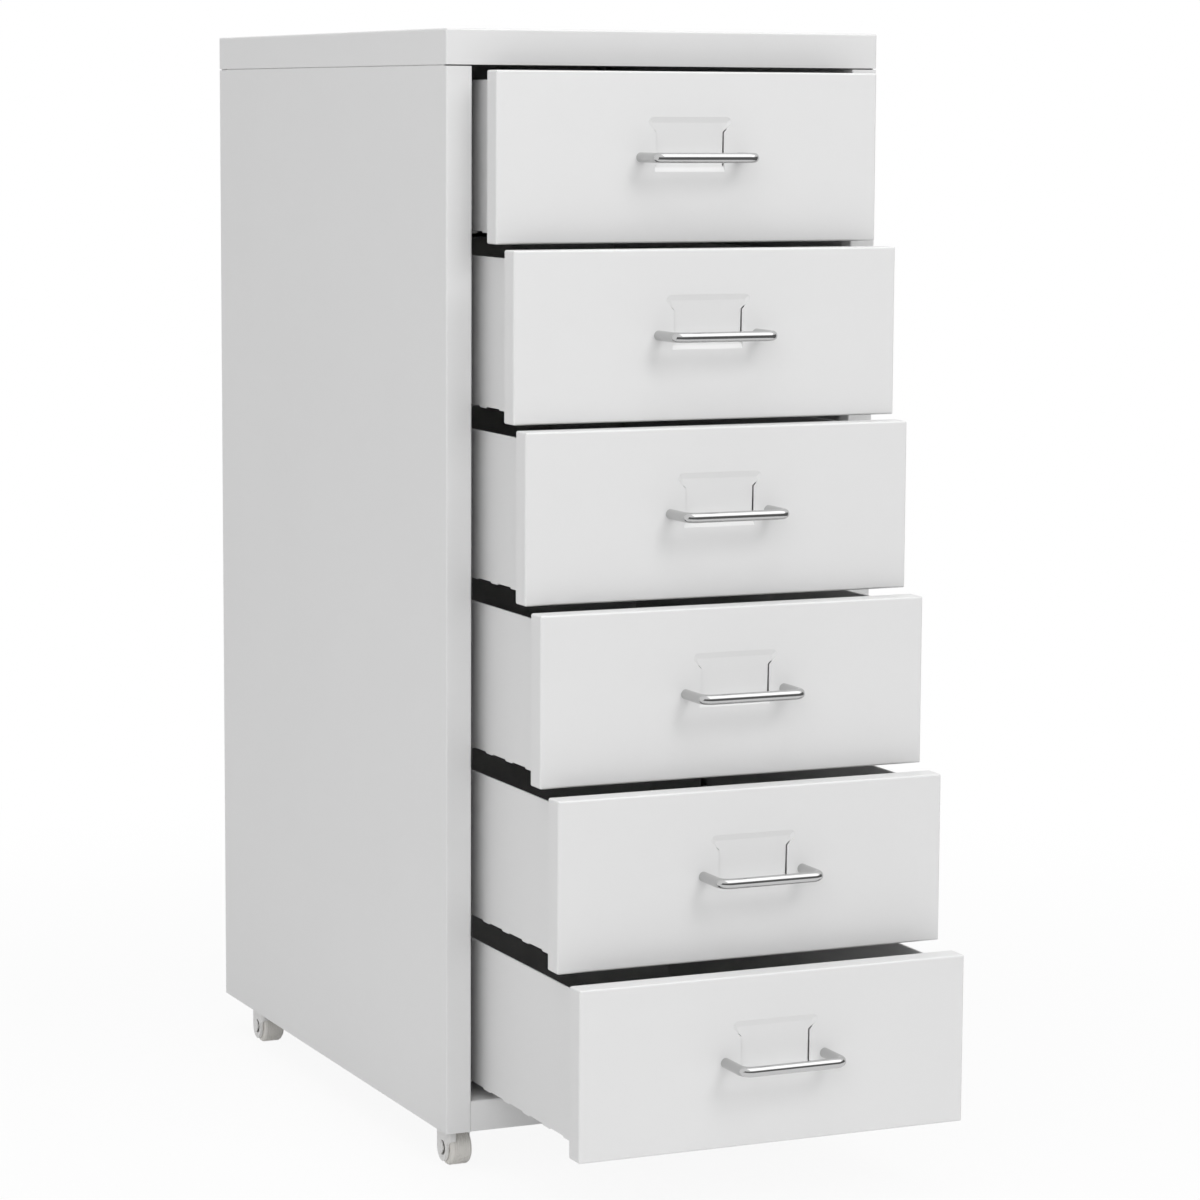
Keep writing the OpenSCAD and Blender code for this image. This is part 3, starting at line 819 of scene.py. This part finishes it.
print("points in the moon window's outline:", len(moon()))

# %% [markdown]
# ## Tools for the hood
# Each outline becomes a solid tool by pushing it through the fork, from above for the lip and from
# the side for all others. The tongue and the moon go right through. The far cheek's own cut begins
# just inside that cheek, and each relief stops short of the outer face by the thickness of the skin.

# %% Tools for the hood
def hood_tools(half_w):
    """What is added to and cut from a fork, about its axle's middle, where forward is -Y."""
    wide = half_w + 1 * MM
    inner = half_w - CHEEK_T
    disc, relief = ring(DISC_R), ring(RELIEF_R)
    adds = [
        prism("hood_lip", lip_outline(half_w), HOOD_LIP_Z, LIP_TOP, 2),
        prism("cheek_disc_left", disc, -half_w, -half_w + DISC_T, 0),
        prism("cheek_disc_right", disc, half_w - DISC_T, half_w, 0),
    ]
    cuts = [
        prism("tongue_cut", tongue_cut(), -wide, wide, 0),
        prism("far_cut", far_cut(), inner - PAST, wide, 0),
        prism("relief_left", relief, -half_w + SKIN_T, -inner + PAST, 0),
        prism("relief_right", relief, inner - PAST, half_w - SKIN_T, 0),
        prism("moon_window", moon(), -wide, wide, 0),
    ]
    print("hood tools:", len(adds), "to add and", len(cuts), "to cut")
    return adds, cuts


# %% [markdown]
# ## Moulding the hood
# The plain fork's own mesh is the blank, so the socket for the stem stays right. Its triangles are
# loose, so equal points are merged first. Booleans then add and cut in the order of the tools, and
# a small bevel rounds the moulded edges.

# %% Moulding a hood
SOFT_EDGE, SOFT_STEPS = 0.35 * MM, 2
SOFTEN_FROM, HOOD_CREASE = 40, 35


def axle_middle(corner):
    low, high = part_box(f"castor_{corner}_axle")
    return (low + high) / 2


def hood_blank(corner):
    """A copy of a plain fork, in one skin and about its axle's middle."""
    skin = bmesh.new()
    skin.from_mesh(NODES[f"castor_{corner}_fork"].data)
    bmesh.ops.remove_doubles(skin, verts=skin.verts, dist=SAME_POINT)
    bmesh.ops.translate(skin, verts=skin.verts, vec=-axle_middle(corner))
    mesh = bpy.data.meshes.new("hood")
    skin.to_mesh(mesh)
    skin.free()
    blank = bpy.data.objects.new("hood", mesh)
    bpy.context.scene.collection.objects.link(blank)
    return blank


def mould_hood(corner):
    """The mesh of a hood, about its axle's middle."""
    blank = hood_blank(corner)
    low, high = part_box(f"castor_{corner}_fork")
    adds, cuts = hood_tools((high.x - low.x) / 2)
    for tool in adds + cuts:
        step = blank.modifiers.new(tool.name, "BOOLEAN")
        step.operation = "UNION" if tool in adds else "DIFFERENCE"
        step.solver = "EXACT"
        step.object = tool
    soften = blank.modifiers.new("moulded_edges", "BEVEL")
    soften.width = SOFT_EDGE
    soften.segments = SOFT_STEPS
    soften.limit_method = "ANGLE"
    soften.angle_limit = math.radians(SOFTEN_FROM)
    evaluated = blank.evaluated_get(bpy.context.evaluated_depsgraph_get())
    made = bpy.data.meshes.new_from_object(evaluated)
    for tool in [blank] + adds + cuts:
        bpy.data.objects.remove(tool)
    made.polygons.foreach_set("use_smooth", [True] * len(made.polygons))
    made.set_sharp_from_angle(angle=math.radians(HOOD_CREASE))
    made.materials.clear()
    made.materials.append(plastic)
    return made


hood_shape = mould_hood("front_left")
print("hood faces:", len(hood_shape.polygons))

# %% [markdown]
# ## Four hoods
# The four forks are equal, so cutting each one anew would only cost time. One hood serves them all:
# it was made about its axle, and a copy of its mesh is moved to each axle's middle. It rides on the
# swivel, so it turns with the castor.

# %% Castor hoods
def add_hood(shape, corner):
    mesh = shape.copy()
    mesh.name = f"castor_hood_{corner}"
    mesh.transform(Matrix.Translation(axle_middle(corner)))
    hood = bpy.data.objects.new(mesh.name, mesh)
    bpy.context.scene.collection.objects.link(hood)
    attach(hood, f"castor_{corner}_swivel")
    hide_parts(f"castor_{corner}_fork")
    print(mesh.name, "at", [round(part / MM, 1) for part in axle_middle(corner)], "mm")


for corner in CORNERS:
    add_hood(hood_shape, corner)

# %% [markdown]
# ## The studio
# The camera must see pure white behind the cabinet without that white pouring more light on it. A
# brighter world would give the page and wash out the faces. The Light Path node tells the rays that
# look at a surface from the rays that light it, so the world can be white to the eye and to mirrors,
# and dimmer as a lamp.

# %% White to the eye, dimmer as a lamp
WHITE = (1, 1, 1, 1)
AMBIENT = 0.46


def looking(maker):
    """1 for rays that look: from the camera, off a gloss or through a glass. 0 for the others."""
    kinds = ("Is Camera Ray", "Is Glossy Ray", "Is Transmission Ray")
    camera, gloss, glass = [maker.add("ShaderNodeLightPath", output=kind) for kind in kinds]
    return camera.math("MAXIMUM", gloss).math("MAXIMUM", glass)


def add_world():
    world = bpy.data.worlds.new("studio")
    bpy.context.scene.world = world
    world.use_nodes = True
    maker = NodeMaker(world.node_tree)
    lit = maker.tree.nodes["Background"]
    maker.plug(lit.inputs["Color"], WHITE)
    maker.plug(lit.inputs["Strength"], AMBIENT)
    seen = maker.add("ShaderNodeBackground", {}, {"Color": WHITE})
    pick = maker.add("ShaderNodeMixShader", {}, [looking(maker), Value(maker, lit.outputs[0]), seen])
    maker.plug(maker.tree.nodes["World Output"].inputs["Surface"], pick)
    print("world:", len(maker.tree.nodes), "nodes, strength", AMBIENT, "as a lamp")


add_world()
bpy.context.scene.view_settings.view_transform = "Standard"

# %% [markdown]
# ## Softboxes
# A product shot of a white thing on white needs even light that still leaves its faces apart, and no
# face may clip. A spot or a sun would draw hard shadows, so all lamps are wide squares. The biggest
# hangs overhead. A smaller one at the upper right of the front draws the soft shadows of the
# handles, one at the left fills them, and the world gives the rest. They are hidden from glossy
# rays, so the paint keeps an even sheen.

# %% Softboxes
MIDDLE = Vector((0, -0.1, 0.35))
SOFTBOXES = {
    "overhead": ((-0.3, -0.7, 2.6), 2.2, 24),
    "key": ((0.68, -2.7, 2.17), 1.0, 17),
    "fill": ((-1.6, -2.6, 1.3), 1.6, 15),
}


def add_softbox(name, place, size, watts):
    """A square lamp that faces the middle of the cabinet. No gloss or chrome shows its shape."""
    lamp = bpy.data.lights.new(name, "AREA")
    lamp.size = size
    lamp.energy = watts
    box = bpy.data.objects.new(name, lamp)
    box.location = place
    box.visible_glossy = False
    box.rotation_mode = "QUATERNION"
    box.rotation_quaternion = (MIDDLE - Vector(place)).to_track_quat("-Z", "Y")
    bpy.context.scene.collection.objects.link(box)
    print(name, "radiance:", round(watts / (math.pi * size**2), 2))


for name, (place, size, watts) in SOFTBOXES.items():
    add_softbox(name, place, size, watts)

# %% [markdown]
# ## The floor
# The floor is white too, and takes the cabinet's soft shadow. A lit white plane would meet the world
# in a grey horizon, and a shadow catcher needs a compositor. Here a part of what the camera sees
# near the castors is real light, which the cabinet can shade, and the rest is plain white. The lit
# part fades out with the distance, so the floor runs into the white behind it.

# %% Floor
SHADED, FADE_FROM, FADE_TO = 0.08, 0.3, 1.1
FLOOR_GREY, FLOOR_HALF = 0.9, 6


def floor_white():
    box = Paintbox("floor_white")
    box.finish(Base_Color=grey(FLOOR_GREY), Roughness=1.0, Specular_IOR_Level=0.0)
    far = box.add("ShaderNodeVectorMath", {"operation": "LENGTH"}, [box.place()], output="Value")
    share = (1 - SHADED * (1 - far.smooth(FADE_FROM, FADE_TO))) * looking(box)
    white = box.add("ShaderNodeEmission")
    pick = box.add("ShaderNodeMixShader", {}, [share, Value(box, box.surface.outputs[0]), white])
    box.plug(box.tree.nodes["Material Output"].inputs["Surface"], pick)
    return box.material


def add_floor(half):
    square = [(-half, -half, 0), (half, -half, 0), (half, half, 0), (-half, half, 0)]
    mesh = bpy.data.meshes.new("floor")
    mesh.from_pydata(square, [], [(0, 1, 2, 3)])
    mesh.materials.append(floor_white())
    floor = bpy.data.objects.new("floor", mesh)
    bpy.context.scene.collection.objects.link(floor)
    floor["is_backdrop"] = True
    print("floor:", 2 * half, "m square,", nodes_in(mesh.materials[0]))


add_floor(FLOOR_HALF)

# %% [markdown]
# ## What the chrome sees
# Chrome has no colour of its own: it shows the room, and a room that is white all round makes it
# look like grey paint. A studio therefore sets a dark band at eye level between a bright ceiling and
# a bright floor, and the rods then show a crisp dark line under a white one. A picture of a room
# round the whole world would do that as well, but three plain surfaces are easier to place: a dark
# mat and a dark wall that curve round the front, under a white card. Only mirror-like rays see them,
# so they hide nothing and light nothing.

# %% Panels for the mirror
def glow(name, level):
    """A material that only gives light of an even level."""
    box = Paintbox(name)
    lit = box.add("ShaderNodeEmission", {}, {"Color": WHITE, "Strength": level})
    box.plug(box.tree.nodes["Material Output"].inputs["Surface"], lit)
    return box.material


def add_mirrored(name, rows, material):
    """A surface between rows of points, which only mirror-like rays see."""
    count = len(rows[0])
    faces = [
        (r * count + i, r * count + i + 1, (r + 1) * count + i + 1, (r + 1) * count + i)
        for r in range(len(rows) - 1) for i in range(count - 1)
    ]
    mesh = bpy.data.meshes.new(name)
    mesh.from_pydata([point for row in rows for point in row], [], faces)
    mesh.materials.append(material)
    panel = bpy.data.objects.new(name, mesh)
    panel.visible_camera = panel.visible_diffuse = False
    panel.visible_shadow = panel.visible_transmission = False
    bpy.context.scene.collection.objects.link(panel)
    panel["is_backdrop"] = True
    print(name, "faces:", len(faces))


def sweep(start, end, steps=24):
    """Angles from start to end, given in degrees and returned in radians."""
    return [math.radians(start) + math.radians(end - start) * i / steps for i in range(steps + 1)]


# %% [markdown]
# ## The band and the card
# The band is one curved surface in two parts, a mat just above the floor that turns up into a wall.
# The card is a part of a barrel over the front, whose axis runs from left to right. How far each
# reaches decides where the dark and the white line run along the rod.

# %% Dark band and white card
BAND_FROM, BAND_TO, BAND_GLOW = -150, 35, 0.16
MAT_R, MAT_Z, WALL_R, WALL_TOP = 1.0, 0.004, 3.6, 1.5
CARD_FROM, CARD_TO, CARD_GLOW = 28, 84, 2.1
CARD_R, CARD_AXIS_Z, CARD_LEFT, CARD_RIGHT = 3.2, 0.4, -1.0, 5.0

around = sweep(BAND_FROM, BAND_TO)
band = [
    [(radius * math.cos(a), radius * math.sin(a), z) for a in around]
    for radius, z in ((MAT_R, MAT_Z), (WALL_R, MAT_Z), (WALL_R, WALL_TOP))
]
add_mirrored("dark_band", band, glow("band_dark", BAND_GLOW))

over = sweep(CARD_FROM, CARD_TO)
card = [
    [(x, -CARD_R * math.cos(a), CARD_AXIS_Z + CARD_R * math.sin(a)) for a in over]
    for x in (CARD_LEFT, CARD_RIGHT)
]
add_mirrored("white_card", card, glow("card_white", CARD_GLOW))

# %% [markdown]
# ## Measure
# The visual pieces must fill the same box as the CAD ones, or the part would no longer be the size it
# says. We measure the box of all that is shown and print its size.

# %% Measure
low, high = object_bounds()
print("size:", [round((b - a) / MM, 1) for a, b in zip(low, high)], "mm")
